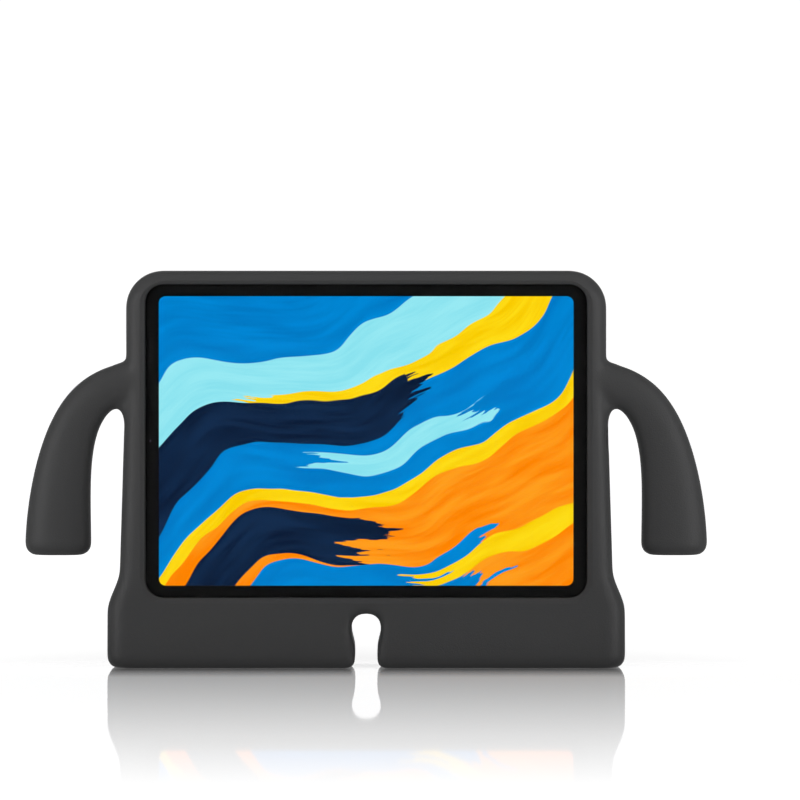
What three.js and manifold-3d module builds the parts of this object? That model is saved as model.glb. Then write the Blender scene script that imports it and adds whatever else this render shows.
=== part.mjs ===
// Kids tablet case: one moulded piece of foam that frames an 11-inch-class slate, with two bent arms
// to hold it by and a flared foot to stand on, and the slate that it holds.
// Millimetres. +Z is up, the screen faces -Y, and the origin is on the floor under the middle.

import * as THREE from 'three';
import { mergeVertices } from 'three/addons/utils/BufferGeometryUtils.js';
import Module from 'manifold-3d';

// The slate, lying on its long side
const TABLET_WIDTH = 247.6;
const TABLET_HEIGHT = 178.5;
const TABLET_THICKNESS = 5.9;
const TABLET_CORNER = 12.5;
const TABLET_EDGE = 0.8;
const GLASS_THICKNESS = 0.7;
const GLASS_INSET = 1.1;
const PANEL_THICKNESS = 0.9;
const SCREEN_MARGIN = 9.25;
const DISPLAY_CORNER = 3.8;
const LAYER_GAP = 0.1;

// What looks out of the slate's border: height of each sensor above the middle, and its diameter
const SENSORS = [
  { name: 'infrared_sensor', rise: 13.6, diameter: 2.6 },
  { name: 'ambient_sensor', rise: 0.1, diameter: 1.2 },
  { name: 'front_camera', rise: -5.7, diameter: 2.9 },
  { name: 'proximity_sensor', rise: -13.5, diameter: 2.6 },
];

// The slate's rear camera, near the corner behind the screen's upper left
const CAMERA_FROM_SIDE = 11.1;
const CAMERA_FROM_TOP = 12.4;
const CAMERA_RING = 14.0;
const CAMERA_LENS = 10.3;
const CAMERA_BUMP = 1.3;
const LENS_DEPTH = 2.4;
const LENS_SUNK = 0.3;
const FLASH_OFFSET = 14.9;
const FLASH_DIAMETER = 3.9;
const FLASH_DEPTH = 1.0;
const MICROPHONE_OFFSET = 9.8;
const MICROPHONE_DIAMETER = 1.2;

// Three round contacts in the slate's back and the charging socket in its side
const CONTACT_FROM_SIDE = 10.5;
const CONTACT_PITCH = 5.0;
const CONTACT_DIAMETER = 3.3;
const CONTACT_DEPTH = 0.8;
const SOCKET_LENGTH = 9.0;
const SOCKET_WIDTH = 3.2;
const SOCKET_DEPTH = 6.5;
const TONGUE_LENGTH = 6.6;
const TONGUE_THICKNESS = 0.8;

// Foam around the slate
const FIT = 0.3;
const SIDE_WALL = 8.7;
const TOP_WALL = 4.5;
const BACK_WALL = 11.0;
const LIP_DEPTH = 3.3;
const LIP_OVER_SIDES = 1.8;
const LIP_OVER_ENDS = 2.6;
const LIP_CORNER = 10.2;
const LIP_BEVEL = 2.8;
const LIP_LAND = 0.7;
const TABLET_LIFT = 36.55;
const SHOULDER_RADIUS = 20.5;
const FRONT_EDGE = 8.0;
const BACK_EDGE = 8.0;

// The body widens a little down to the waist, then flares out into the foot
const ARM_TOP_Z = 170;
const WAIST_Z = 55;
const WAIST_SPREAD = 3.6;
const FOOT_TOP_Z = 31;
const FOOT_SPREAD = 6.9;
const TOE_TOP_Z = 38;
const TOE_BOTTOM_Z = 5;
const TOE_REACH = 3.0;
const HEEL_TOP_Z = 62;
const HEEL_BOTTOM_Z = 20;
const HEEL_REACH = 24.0;
const FOOT_FRONT_EDGE = 9.0;
const FOOT_BACK_EDGE = 12.0;
const SOLE_SIDE_INSET = 5.5;
const SOLE_FACE_INSET = 4.5;
const SOLE_EDGE_HEIGHT = 7.0;

// Keyhole slot that parts the two feet
const SLOT_BULB_RADIUS = 8.15;
const SLOT_BULB_Z = 22.0;
const SLOT_NECK_WIDTH = 12.3;
const SLOT_NECK_TOP_Z = 9.5;
const SLOT_MOUTH_RADIUS = 4.6;
const SLOT_EDGE = 3.8;

// Arms: the centre line leaves the side sloping down and bends to hang plumb
const ARM_ROOT_Z = 162.0;
const ARM_ROOT_SUNK = 10.0;
const ARM_ROOT_LEAN = 22;
const ARM_ROOT_PULL = 24.0;
const ARM_BEND_PULL = 95.0;
const ARM_REACH = 37.7;
const ARM_TIP_Z = 62.5;
const ARM_ROOT_WIDTH = 22.0;
const ARM_TIP_WIDTH = 36.8;
const ARM_ROOT_DEPTH = 19.5;
const ARM_TIP_DEPTH = 26.0;
const ARM_TIP_EDGE = 6.5;
const ARM_FULLNESS = 2.5;
const CROTCH_DROP = 6.5;
const CROTCH_RUN = 7.5;
const CROTCH_DEPTH = 11.0;

// Openings in the foam
const CAMERA_OPENING_WIDTH = 29.0;
const CAMERA_OPENING_HEIGHT = 18.8;
const CAMERA_OPENING_SHIFT = 5.4;
const OPENING_EDGE = 2.8;
const CONTACT_OPENING_WIDTH = 8.6;
const CONTACT_OPENING_HEIGHT = 21.0;
const CONTACT_OPENING_EDGE = 2.1;
const PORT_OPENING_LENGTH = 15.0;
const PORT_OPENING_WIDTH = 8.0;
const SPEAKER_SLOT_LENGTH = 20.0;
const SPEAKER_SLOT_WIDTH = 3.6;
const SPEAKER_SLOT_DROP = 48.0;

const wasm = await Module();
wasm.setup();

// A closed geometry, with its shared vertices merged, as a solid facing out
function solid(geometry) {
  const bare = geometry.clone();
  for (const name of ['normal', 'uv', 'uv1', 'color']) bare.deleteAttribute(name);
  const merged = mergeVertices(bare, 1e-4);
  const corners = merged.index.array;
  const kept = [];
  for (let i = 0; i < corners.length; i += 3) {
    const [a, b, c] = [corners[i], corners[i + 1], corners[i + 2]];
    if (a !== b && b !== c && a !== c) kept.push(a, b, c);
  }
  const mesh = {
    numProp: 3,
    vertProperties: merged.attributes.position.array,
    triVerts: new Uint32Array(kept),
  };
  const made = new wasm.Manifold(new wasm.Mesh(mesh));
  if (made.volume() > 0) return made;
  for (let i = 0; i < kept.length; i += 3) [kept[i + 1], kept[i + 2]] = [kept[i + 2], kept[i + 1]];
  return new wasm.Manifold(new wasm.Mesh({ ...mesh, triVerts: new Uint32Array(kept) }));
}

function geometryOf(made) {
  const mesh = made.getMesh();
  const positions = new Float32Array(mesh.numVert * 3);
  for (let i = 0; i < mesh.numVert; i++) {
    positions.set(mesh.vertProperties.subarray(i * mesh.numProp, i * mesh.numProp + 3), i * 3);
  }
  const geometry = new THREE.BufferGeometry();
  geometry.setAttribute('position', new THREE.BufferAttribute(positions, 3));
  geometry.setIndex(new THREE.BufferAttribute(mesh.triVerts, 1));
  geometry.computeVertexNormals();
  return geometry;
}

// A loft through rings of equally many points, capped at both ends
function loft(rings) {
  const count = rings[0].length;
  const positions = rings.flat().flatMap((p) => [p.x, p.y, p.z]);
  const index = [];
  for (let r = 0; r + 1 < rings.length; r++) {
    for (let i = 0; i < count; i++) {
      const j = (i + 1) % count;
      const [a, b] = [r * count + i, r * count + j];
      index.push(a, b, b + count, a, b + count, a + count);
    }
  }
  cap(rings[0]).forEach(([a, b, c]) => index.push(a, c, b));
  const last = (rings.length - 1) * count;
  cap(rings.at(-1)).forEach(([a, b, c]) => index.push(last + a, last + b, last + c));
  const geometry = new THREE.BufferGeometry();
  geometry.setAttribute('position', new THREE.Float32BufferAttribute(positions, 3));
  geometry.setIndex(index);
  return solid(geometry);
}

// Triangles that fill a flat ring, wound the way the ring runs
function cap(ring) {
  const normal = new THREE.Vector3();
  ring.forEach((p, i) => normal.add(p.clone().cross(ring[(i + 1) % ring.length])));
  normal.normalize();
  const turn = new THREE.Quaternion().setFromUnitVectors(normal, new THREE.Vector3(0, 0, 1));
  const flat = ring.map((p) => {
    const q = p.clone().applyQuaternion(turn);
    return new THREE.Vector2(q.x, q.y);
  });
  return THREE.ShapeUtils.triangulateShape(flat, []);
}

// Rounded rectangle about (0, 0), as a shape
function roundedShape(width, height, corner) {
  const [x, y, r] = [width / 2, height / 2, Math.min(corner, width / 2, height / 2)];
  const shape = new THREE.Shape();
  shape.absarc(x - r, y - r, r, 0, Math.PI / 2);
  shape.absarc(r - x, y - r, r, Math.PI / 2, Math.PI);
  shape.absarc(r - x, r - y, r, Math.PI, 1.5 * Math.PI);
  shape.absarc(x - r, r - y, r, 1.5 * Math.PI, 2 * Math.PI);
  return shape;
}

// An upright plate whose outline lies in the X-Z plane, from y = front to y = front + depth
function plate(shape, x, z, front, depth, segments) {
  const geometry = new THREE.ExtrudeGeometry(shape, {
    depth,
    bevelEnabled: false,
    curveSegments: segments,
  });
  geometry.rotateX(Math.PI / 2);
  return solid(geometry.translate(x, front + depth, z));
}

// Closed sections of a rounded rectangle in the X-Z plane, each [y, how far it is let out]
function flaredOpening(width, height, corner, x, z, steps, segments) {
  return loft(
    steps.map(([y, out]) => {
      const shape = roundedShape(width + 2 * out, height + 2 * out, corner + out);
      const points = shape.getPoints(segments);
      const open = points.slice(0, points.at(-1).equals(points[0]) ? -1 : undefined);
      return open.map((p) => new THREE.Vector3(x + p.x, y, z + p.y));
    })
  );
}

// How far a quarter-round edge of the given radius stands back at a depth from the face
function roundOver(radius, depth) {
  if (depth >= radius) return 0;
  return radius - Math.sqrt(radius ** 2 - (radius - Math.max(depth, 0)) ** 2);
}

// 0 above the top level, 1 below the bottom level, easing in between
function flare(z, top, bottom) {
  return THREE.MathUtils.smoothstep(-z, -top, -bottom);
}

// Sizes that follow from those above
const cavityWidth = TABLET_WIDTH + 2 * FIT;
const cavityHeight = TABLET_HEIGHT + 2 * FIT;
const cavityDepth = TABLET_THICKNESS + 2 * FIT;
const slabDepth = LIP_DEPTH + cavityDepth + BACK_WALL;
const footDepth = TOE_REACH + slabDepth + HEEL_REACH;
const slabFront = TOE_REACH - footDepth / 2;
const slabBack = slabFront + slabDepth;
const slabMiddle = (slabFront + slabBack) / 2;
const cavityFront = slabFront + LIP_DEPTH;
const tabletFront = cavityFront + FIT;
const tabletBack = tabletFront + TABLET_THICKNESS;
const tabletZ = TABLET_LIFT + TABLET_HEIGHT / 2;
const bodyHalf = cavityWidth / 2 + SIDE_WALL;
const bodyTop = tabletZ + cavityHeight / 2 + TOP_WALL;
const displayWidth = TABLET_WIDTH - 2 * SCREEN_MARGIN;
const displayHeight = TABLET_HEIGHT - 2 * SCREEN_MARGIN;
const openingWidth = TABLET_WIDTH - 2 * LIP_OVER_SIDES;
const openingHeight = TABLET_HEIGHT - 2 * LIP_OVER_ENDS;
const cameraX = -(TABLET_WIDTH / 2 - CAMERA_FROM_SIDE);
const cameraZ = tabletZ + TABLET_HEIGHT / 2 - CAMERA_FROM_TOP;
const contactX = TABLET_WIDTH / 2 - CONTACT_FROM_SIDE;
const trayDepth = GLASS_THICKNESS + PANEL_THICKNESS + 2 * LAYER_GAP;
const socketY = (tabletFront + trayDepth + tabletBack) / 2;

// Half width, front and back of the foam body at a height, before its edges are rounded
function bodyHalfWidth(z) {
  const spread = THREE.MathUtils.clamp((ARM_TOP_Z - z) / (ARM_TOP_Z - WAIST_Z), 0, 1);
  return bodyHalf + WAIST_SPREAD * spread + FOOT_SPREAD * flare(z, WAIST_Z, FOOT_TOP_Z);
}

function bodyFront(z) {
  return slabFront - TOE_REACH * flare(z, TOE_TOP_Z, TOE_BOTTOM_Z);
}

function bodyBack(z) {
  return slabBack + HEEL_REACH * flare(z, HEEL_TOP_Z, HEEL_BOTTOM_Z);
}

// One level section of the body: a rectangle with elliptical corners. Over the shoulders the
// corners stretch along X, because the section there cuts the rounded edge on the slant.
function bodyRing(z) {
  const shoulder = Math.max(z - (bodyTop - SHOULDER_RADIUS), 0);
  const reach = (radius) => Math.sqrt(Math.max(radius ** 2 - shoulder ** 2, 0));
  const sole = Math.sqrt(1 - (1 - Math.min(z / SOLE_EDGE_HEIGHT, 1)) ** 2);
  const half = bodyHalfWidth(z) - SHOULDER_RADIUS + reach(SHOULDER_RADIUS) - SOLE_SIDE_INSET * (1 - sole);
  const foot = flare(z, WAIST_Z, FOOT_TOP_Z);
  const ring = [];
  const corner = (edge, footEdge, face, sx, sy, from) => {
    const radius = THREE.MathUtils.lerp(edge, footEdge, foot);
    const back = roundOver(edge, bodyTop - z);
    const along = reach(SHOULDER_RADIUS) - reach(SHOULDER_RADIUS - edge) + radius - edge;
    const a = shoulder > 0 ? along : radius;
    const b = radius - back;
    const y = face - sy * (back + SOLE_FACE_INSET * (1 - sole));
    for (let i = 0; i <= 6; i++) {
      const turn = from + (i / 6) * (Math.PI / 2);
      ring.push(
        new THREE.Vector3(
          sx * (half - a) + a * Math.cos(turn),
          y - sy * b + b * Math.sin(turn),
          z
        )
      );
    }
  };
  corner(FRONT_EDGE, FOOT_FRONT_EDGE, bodyFront(z), -1, -1, Math.PI);
  corner(FRONT_EDGE, FOOT_FRONT_EDGE, bodyFront(z), 1, -1, 1.5 * Math.PI);
  corner(BACK_EDGE, FOOT_BACK_EDGE, bodyBack(z), 1, 1, 0);
  corner(BACK_EDGE, FOOT_BACK_EDGE, bodyBack(z), -1, 1, Math.PI / 2);
  return ring;
}

function bodySolid() {
  const levels = [];
  for (let i = 0; i <= 4; i++) levels.push(SOLE_EDGE_HEIGHT * (1 - Math.cos((i / 4) * (Math.PI / 2))));
  const steps = 12;
  for (let i = 0; i <= steps; i++) {
    const from = SOLE_EDGE_HEIGHT + 3;
    levels.push(THREE.MathUtils.lerp(from, HEEL_TOP_Z + 2, i / steps));
  }
  levels.push((HEEL_TOP_Z + ARM_TOP_Z) / 2, ARM_TOP_Z);
  for (let i = 0; i <= 3; i++) {
    levels.push(bodyTop - SHOULDER_RADIUS + SHOULDER_RADIUS * Math.sin((i / 6) * (Math.PI / 2)));
  }
  for (let i = 0; i <= 5; i++) {
    levels.push(bodyTop - FRONT_EDGE * (1 - Math.sin((i / 5) * (Math.PI / 2))));
  }
  const rising = levels.sort((a, b) => a - b).filter((z, i) => i === 0 || z - levels[i - 1] > 0.05);
  return loft(rising.map(bodyRing));
}

// The right arm, lofted along its centre line
function armSolid() {
  const start = new THREE.Vector2(bodyHalf - ARM_ROOT_SUNK, ARM_ROOT_Z);
  const end = new THREE.Vector2(bodyHalf + ARM_REACH, ARM_TIP_Z);
  const lean = THREE.MathUtils.degToRad(ARM_ROOT_LEAN);
  const line = new THREE.CubicBezierCurve(
    start,
    new THREE.Vector2(
      start.x + ARM_ROOT_PULL * Math.cos(lean),
      start.y - ARM_ROOT_PULL * Math.sin(lean)
    ),
    new THREE.Vector2(end.x, end.y + ARM_BEND_PULL),
    end
  );
  const length = line.getLength();
  const stations = [];
  for (let i = 0; i <= 18; i++) stations.push((i / 18) * (1 - ARM_TIP_EDGE / length));
  for (let i = 1; i <= 4; i++) {
    stations.push(1 - (ARM_TIP_EDGE / length) * (1 - Math.sin((i / 4) * (Math.PI / 2))));
  }
  return loft(
    stations.map((u) => {
      const centre = line.getPointAt(u);
      const along = line.getTangentAt(u);
      const growth = THREE.MathUtils.smoothstep(u, 0.08, 1);
      const tuck = roundOver(ARM_TIP_EDGE, (1 - u) * length);
      const width = THREE.MathUtils.lerp(ARM_ROOT_WIDTH, ARM_TIP_WIDTH, growth) / 2 - tuck;
      const depth = THREE.MathUtils.lerp(ARM_ROOT_DEPTH, ARM_TIP_DEPTH, growth) / 2 - tuck;
      const ring = [];
      for (let i = 0; i < 24; i++) {
        const turn = (i / 24) * 2 * Math.PI;
        const round = (v) => Math.sign(v) * Math.abs(v) ** (2 / ARM_FULLNESS);
        const side = width * round(Math.cos(turn));
        ring.push(
          new THREE.Vector3(
            centre.x - along.y * side,
            slabMiddle + depth * round(Math.sin(turn)),
            centre.y + along.x * side
          )
        );
      }
      return ring;
    })
  );
}

// Web that rounds the corner under the arm, where it leaves the body
function crotchSolid() {
  const side = bodyHalfWidth(ARM_ROOT_Z - ARM_ROOT_WIDTH);
  const under = ARM_ROOT_Z - ARM_ROOT_WIDTH / 2 - CROTCH_DROP / 2;
  const shape = new THREE.Shape();
  shape.moveTo(side - 3, under - CROTCH_DROP - 6);
  shape.lineTo(side, under - CROTCH_DROP - 6);
  shape.quadraticCurveTo(side + 1.2, under - 3.0, side + CROTCH_RUN * 0.66, under - 3.2);
  shape.quadraticCurveTo(side + CROTCH_RUN, under - 3.2, side + CROTCH_RUN + 2, under - CROTCH_DROP);
  shape.lineTo(side + CROTCH_RUN + 2, under + 4);
  shape.lineTo(side - 3, under + 4);
  return plate(shape, 0, 0, slabMiddle - CROTCH_DEPTH / 2, CROTCH_DEPTH, 5);
}

function mirrored(made) {
  return made.mirror([1, 0, 0]);
}

// Keyhole outline from the mouth up one side, over the bulb and down the other
function slotOutline(out) {
  const neck = SLOT_NECK_WIDTH / 2;
  const path = new THREE.CurvePath();
  path.add(
    new THREE.EllipseCurve(
      neck + SLOT_MOUTH_RADIUS,
      SLOT_MOUTH_RADIUS,
      SLOT_MOUTH_RADIUS,
      SLOT_MOUTH_RADIUS,
      -Math.PI / 2,
      -Math.PI,
      true
    )
  );
  const rise = SLOT_BULB_Z - SLOT_NECK_TOP_Z;
  path.add(
    new THREE.CubicBezierCurve(
      new THREE.Vector2(neck, SLOT_NECK_TOP_Z),
      new THREE.Vector2(neck, SLOT_NECK_TOP_Z + 0.5 * rise),
      new THREE.Vector2(SLOT_BULB_RADIUS, SLOT_BULB_Z - 0.45 * rise),
      new THREE.Vector2(SLOT_BULB_RADIUS, SLOT_BULB_Z)
    )
  );
  path.add(
    new THREE.EllipseCurve(0, SLOT_BULB_Z, SLOT_BULB_RADIUS, SLOT_BULB_RADIUS, 0, Math.PI / 2)
  );
  const half = path.curves.flatMap((curve, part) => {
    const steps = part === 2 ? 8 : 6;
    return Array.from({ length: steps + 1 }, (_, i) => {
      const point = curve.getPoint(i / steps);
      const along = curve.getTangent(i / steps);
      return new THREE.Vector2(point.x + out * along.y, point.y - out * along.x);
    });
  });
  half.unshift(new THREE.Vector2(half[0].x, -10));
  const other = half.slice(0, -1).reverse();
  return [...half, ...other.map((p) => new THREE.Vector2(-p.x, p.y))];
}

// Cutter for the slot: it follows the foot's front and back, and rounds its edges over there
function slotSolid() {
  const ring = (place, out) =>
    slotOutline(out).map((p) => new THREE.Vector3(p.x, place(Math.max(p.y, 0)), p.y));
  const rings = [ring((z) => bodyFront(z) - 8, SLOT_EDGE)];
  const steps = 5;
  for (let i = 0; i <= steps; i++) {
    const depth = SLOT_EDGE * (1 - Math.cos((i / steps) * (Math.PI / 2)));
    rings.push(ring((z) => bodyFront(z) + depth, roundOver(SLOT_EDGE, depth)));
  }
  for (let i = steps; i >= 0; i--) {
    const depth = SLOT_EDGE * (1 - Math.cos((i / steps) * (Math.PI / 2)));
    rings.push(ring((z) => bodyBack(z) - depth, roundOver(SLOT_EDGE, depth)));
  }
  rings.push(ring((z) => bodyBack(z) + 8, SLOT_EDGE));
  return loft(rings);
}

// Opening through the back wall, with its outer edge rounded over
function backOpening(width, height, x, z, edge) {
  const steps = [[tabletFront + TABLET_THICKNESS / 2, 0], [slabBack - edge, 0]];
  for (let i = 3; i >= 0; i--) {
    const depth = edge * (1 - Math.cos((i / 4) * (Math.PI / 2)));
    steps.push([slabBack - depth, roundOver(edge, depth)]);
  }
  steps.push([slabBack + 2, edge]);
  return flaredOpening(width, height, Math.min(width, height) / 2, x, z, steps, 6);
}

// Round-ended slot, long in Z and level with the charging socket, from x = inside outwards
function sideSlot(length, width, z, inside = cavityWidth / 2 - 2, depth = SIDE_WALL + WAIST_SPREAD + 8) {
  const geometry = new THREE.ExtrudeGeometry(roundedShape(width, length, width / 2), {
    depth,
    bevelEnabled: false,
    curveSegments: 6,
  });
  geometry.rotateX(Math.PI / 2).rotateZ(Math.PI / 2);
  return solid(geometry.translate(inside, socketY, z));
}

function caseSolid() {
  const arm = armSolid().add(crotchSolid());
  let body = bodySolid().add(arm).add(mirrored(arm)).subtract(slotSolid());
  const cavity = roundedShape(cavityWidth, cavityHeight, TABLET_CORNER + FIT);
  body = body.subtract(plate(cavity, 0, tabletZ, cavityFront, cavityDepth, 8));
  const lip = [
    [slabFront - 1, LIP_BEVEL * 1.3],
    [slabFront + (LIP_DEPTH - LIP_LAND) * 0.35, LIP_BEVEL * 0.72],
    [cavityFront - LIP_LAND, 0.15],
    [cavityFront + 1, 0],
  ];
  body = body.subtract(flaredOpening(openingWidth, openingHeight, LIP_CORNER, 0, tabletZ, lip, 8));
  body = body.subtract(
    backOpening(
      CAMERA_OPENING_WIDTH,
      CAMERA_OPENING_HEIGHT,
      cameraX + CAMERA_OPENING_SHIFT,
      cameraZ,
      OPENING_EDGE
    )
  );
  body = body.subtract(
    backOpening(
      CONTACT_OPENING_WIDTH,
      CONTACT_OPENING_HEIGHT,
      contactX,
      tabletZ,
      CONTACT_OPENING_EDGE
    )
  );
  const speaker = sideSlot(SPEAKER_SLOT_LENGTH, SPEAKER_SLOT_WIDTH, tabletZ - SPEAKER_SLOT_DROP);
  return body
    .subtract(sideSlot(PORT_OPENING_LENGTH, PORT_OPENING_WIDTH, tabletZ))
    .subtract(speaker)
    .subtract(mirrored(speaker));
}

function material(color, roughness, metalness) {
  return new THREE.MeshStandardMaterial({ color, roughness, metalness });
}

const foam = material(0x3c3d3f, 0.72, 0);
const aluminium = material(0xa9abaf, 0.36, 1);
const black = material(0x0b0c0e, 0.4, 0);
const glass = material(0x101214, 0.06, 0);
const gold = material(0xb59a5a, 0.3, 1);

const model = new THREE.Group();

function add(name, geometry, look) {
  const mesh = new THREE.Mesh(geometry, look);
  mesh.name = name;
  model.add(mesh);
  return mesh;
}

// A round piece whose axis runs along Y, from y = front to y = front + depth
function disc(diameter, depth, x, front, z, segments = 24) {
  const geometry = new THREE.CylinderGeometry(diameter / 2, diameter / 2, depth, segments);
  return solid(geometry.translate(x, front + depth / 2, z));
}

add('foam_case', geometryOf(caseSolid()), foam);

// The slate's shell: an edge rounded at the back, a tray for the screen in front
const shellBack = new THREE.ExtrudeGeometry(
  roundedShape(TABLET_WIDTH - 2 * TABLET_EDGE, TABLET_HEIGHT - 2 * TABLET_EDGE, TABLET_CORNER - TABLET_EDGE),
  {
    depth: TABLET_THICKNESS - 2 * TABLET_EDGE,
    bevelThickness: TABLET_EDGE,
    bevelSize: TABLET_EDGE,
    bevelSegments: 2,
    curveSegments: 8,
  }
);
shellBack.rotateX(Math.PI / 2).translate(0, tabletBack - TABLET_EDGE, tabletZ);
const glassWidth = TABLET_WIDTH - 2 * GLASS_INSET;
const glassHeight = TABLET_HEIGHT - 2 * GLASS_INSET;
const glassCorner = TABLET_CORNER - GLASS_INSET;
const tray = roundedShape(
  glassWidth + 2 * LAYER_GAP,
  glassHeight + 2 * LAYER_GAP,
  glassCorner + LAYER_GAP
);
const bumpBack = tabletBack + CAMERA_BUMP;
let shell = solid(shellBack)
  .subtract(plate(tray, 0, tabletZ, tabletFront - 1, trayDepth + 1, 8))
  .subtract(disc(CAMERA_RING, TABLET_THICKNESS, cameraX, tabletBack - LENS_DEPTH, cameraZ, 32))
  .subtract(disc(FLASH_DIAMETER, 4, cameraX + FLASH_OFFSET, tabletBack - FLASH_DEPTH, cameraZ))
  .subtract(
    disc(MICROPHONE_DIAMETER, 4, cameraX + MICROPHONE_OFFSET, tabletBack - FLASH_DEPTH, cameraZ, 12)
  );
for (const step of [-1, 0, 1]) {
  const z = tabletZ + step * CONTACT_PITCH;
  shell = shell.subtract(disc(CONTACT_DIAMETER, 4, contactX, tabletBack - CONTACT_DEPTH, z));
}
const socketEnd = TABLET_WIDTH / 2 - SOCKET_DEPTH;
shell = shell.subtract(
  sideSlot(SOCKET_LENGTH, SOCKET_WIDTH, tabletZ, socketEnd, SOCKET_DEPTH + 2)
);
add('tablet_shell', geometryOf(shell), aluminium);

// Screen: the lit panel sits inside a black border, and one sheet of glass covers both
const layerFront = tabletFront + GLASS_THICKNESS + LAYER_GAP;
const cover = roundedShape(glassWidth, glassHeight, glassCorner);
add('cover_glass', geometryOf(plate(cover, 0, tabletZ, tabletFront, GLASS_THICKNESS, 8)), glass);

const panelShape = roundedShape(displayWidth, displayHeight, DISPLAY_CORNER);
const panel = plate(panelShape, 0, tabletZ, layerFront, PANEL_THICKNESS, 6);
add('display_panel', geometryOf(panel), material(0x2f8fd0, 0.2, 0));

const window = roundedShape(
  displayWidth + 2 * LAYER_GAP,
  displayHeight + 2 * LAYER_GAP,
  DISPLAY_CORNER + LAYER_GAP
);
let border = plate(cover, 0, tabletZ, layerFront, PANEL_THICKNESS, 8).subtract(
  plate(window, 0, tabletZ, layerFront - 1, PANEL_THICKNESS + 2, 6)
);
const sensorX = (SCREEN_MARGIN - TABLET_WIDTH) / 2;
for (const { name, rise, diameter } of SENSORS) {
  const z = tabletZ + rise;
  border = border.subtract(
    disc(diameter + 2 * LAYER_GAP, PANEL_THICKNESS + 2, sensorX, layerFront - 1, z, 20)
  );
  const seat = disc(diameter, PANEL_THICKNESS, sensorX, layerFront, z, 20);
  add(name, geometryOf(seat), material(0x1b1d22, 0.15, 0));
}
add('screen_border', geometryOf(border), black);

// Rear camera: a metal ring around a glass lens, both standing a little proud of the back
const ringFront = tabletBack - LENS_DEPTH + LAYER_GAP;
const ringDiameter = CAMERA_RING - 2 * LAYER_GAP;
const ring = disc(ringDiameter, bumpBack - ringFront, cameraX, ringFront, cameraZ, 32).subtract(
  disc(CAMERA_LENS, CAMERA_BUMP + LENS_DEPTH + 2, cameraX, ringFront - 1, cameraZ, 32)
);
add('camera_ring', geometryOf(ring), aluminium);
const lensBack = bumpBack - LENS_SUNK;
const lens = disc(
  CAMERA_LENS - 2 * LAYER_GAP,
  lensBack - ringFront,
  cameraX,
  ringFront,
  cameraZ,
  32
);
add('camera_lens', geometryOf(lens), glass);

const flashFront = tabletBack - FLASH_DEPTH + LAYER_GAP;
const pieceDepth = FLASH_DEPTH - LAYER_GAP;
const flash = disc(
  FLASH_DIAMETER - 2 * LAYER_GAP,
  pieceDepth,
  cameraX + FLASH_OFFSET,
  flashFront,
  cameraZ
);
add('flash_window', geometryOf(flash), material(0xf1e7cf, 0.3, 0));
const microphone = disc(
  MICROPHONE_DIAMETER - 2 * LAYER_GAP,
  pieceDepth / 2,
  cameraX + MICROPHONE_OFFSET,
  flashFront,
  cameraZ,
  12
);
add('rear_microphone', geometryOf(microphone), black);

const contactFront = tabletBack - CONTACT_DEPTH + LAYER_GAP;
for (const [name, step] of [['contact_top', 1], ['contact_middle', 0], ['contact_bottom', -1]]) {
  const contact = disc(
    CONTACT_DIAMETER - 2 * LAYER_GAP,
    CONTACT_DEPTH - LAYER_GAP,
    contactX,
    contactFront,
    tabletZ + step * CONTACT_PITCH
  );
  add(name, geometryOf(contact), gold);
}

// Contact tongue in the middle of the charging socket
const tongueDepth = SOCKET_DEPTH - 1;
const tongue = new THREE.BoxGeometry(tongueDepth, TONGUE_THICKNESS, TONGUE_LENGTH);
tongue.translate(socketEnd + LAYER_GAP + tongueDepth / 2, socketY, tabletZ);
add('socket_tongue', geometryOf(solid(tongue)), black);

export default model;
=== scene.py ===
"""Finishes the kids tablet case: its moulded foam body, the slate that it holds, and a studio.

Every length is in metres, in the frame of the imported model: +Z is up and the screen faces -Y.
"""

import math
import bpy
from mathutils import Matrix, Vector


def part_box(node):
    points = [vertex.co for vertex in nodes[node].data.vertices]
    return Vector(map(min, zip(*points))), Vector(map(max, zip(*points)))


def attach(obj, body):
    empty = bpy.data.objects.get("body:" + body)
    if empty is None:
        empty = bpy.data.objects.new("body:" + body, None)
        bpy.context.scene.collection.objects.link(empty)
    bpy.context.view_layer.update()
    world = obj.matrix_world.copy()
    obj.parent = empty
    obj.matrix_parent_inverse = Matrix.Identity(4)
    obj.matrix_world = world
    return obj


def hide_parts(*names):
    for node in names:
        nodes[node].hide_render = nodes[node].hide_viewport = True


bl_info = {
    "name": "Kids Tablet Case",
    "version": (1, 0, 0),
    "blender": (4, 5, 0),
    "location": "View3D > Sidebar > Tablet Case",
    "description": "Moulded foam case with two bent arms and a keyhole foot, holding a lit slate",
    "category": "Object",
}

import bmesh
import bpy
from bpy.props import FloatProperty, FloatVectorProperty, IntProperty, PointerProperty
from mathutils import Vector

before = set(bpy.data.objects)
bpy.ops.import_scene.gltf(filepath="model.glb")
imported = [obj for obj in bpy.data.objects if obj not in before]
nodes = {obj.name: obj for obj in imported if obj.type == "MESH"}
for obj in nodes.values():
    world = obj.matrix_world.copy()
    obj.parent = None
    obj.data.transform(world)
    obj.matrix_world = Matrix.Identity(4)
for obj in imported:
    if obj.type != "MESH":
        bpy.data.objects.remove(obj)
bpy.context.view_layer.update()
foam_low, foam_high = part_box("foam_case")
slate_low, slate_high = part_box("tablet_shell")


def middle(name):
    """Middle of a node's box."""
    low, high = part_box(name)
    return (low + high) / 2


SLATE_MIDDLE = middle("tablet_shell")
CAMERA_MIDDLE = middle("camera_ring")
CONTACT_MIDDLE = middle("contact_middle")
PORT_LEVEL = middle("socket_tongue").y


def length(name, description, default):
    """A length that a user may change, in metres."""
    return FloatProperty(
        name=name, description=description, default=default, min=0.0, unit="LENGTH", precision=5
    )


def place(name, description, default):
    """A place along an axis, in metres."""
    return FloatProperty(
        name=name, description=description, default=default, unit="LENGTH", precision=5
    )


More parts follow.
